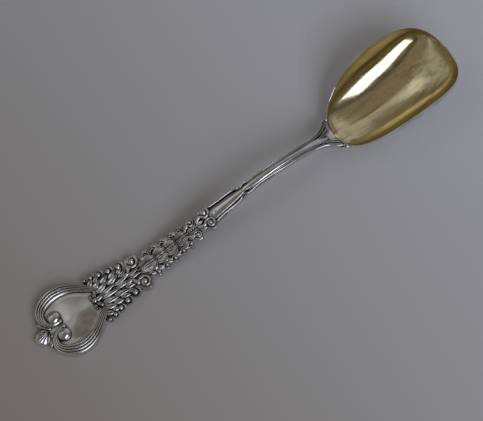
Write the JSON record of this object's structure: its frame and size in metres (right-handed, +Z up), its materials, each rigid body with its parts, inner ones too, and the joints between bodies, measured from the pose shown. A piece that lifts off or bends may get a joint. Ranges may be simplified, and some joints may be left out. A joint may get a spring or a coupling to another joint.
{
  "type": "stilton scoop",
  "caption": "Silver cheese scoop with a reeded heart-shaped terminal, a carved handle, a threaded shank and a deep gilt bowl.",
  "frame": {"origin": "middle of the length and width, on the surface the scoop lies on", "axes": "+X from the terminal to the bowl's lip, +Z up, the scoop lying with its bowl open upwards"},
  "size_m": [0.21, 0.0382, 0.0194],
  "materials": {
    "silver": "polished silver, dark in the recesses"
  },
  "bodies": {
    "root": {"stilton_scoop": "silver"}
  },
  "joints": []
}
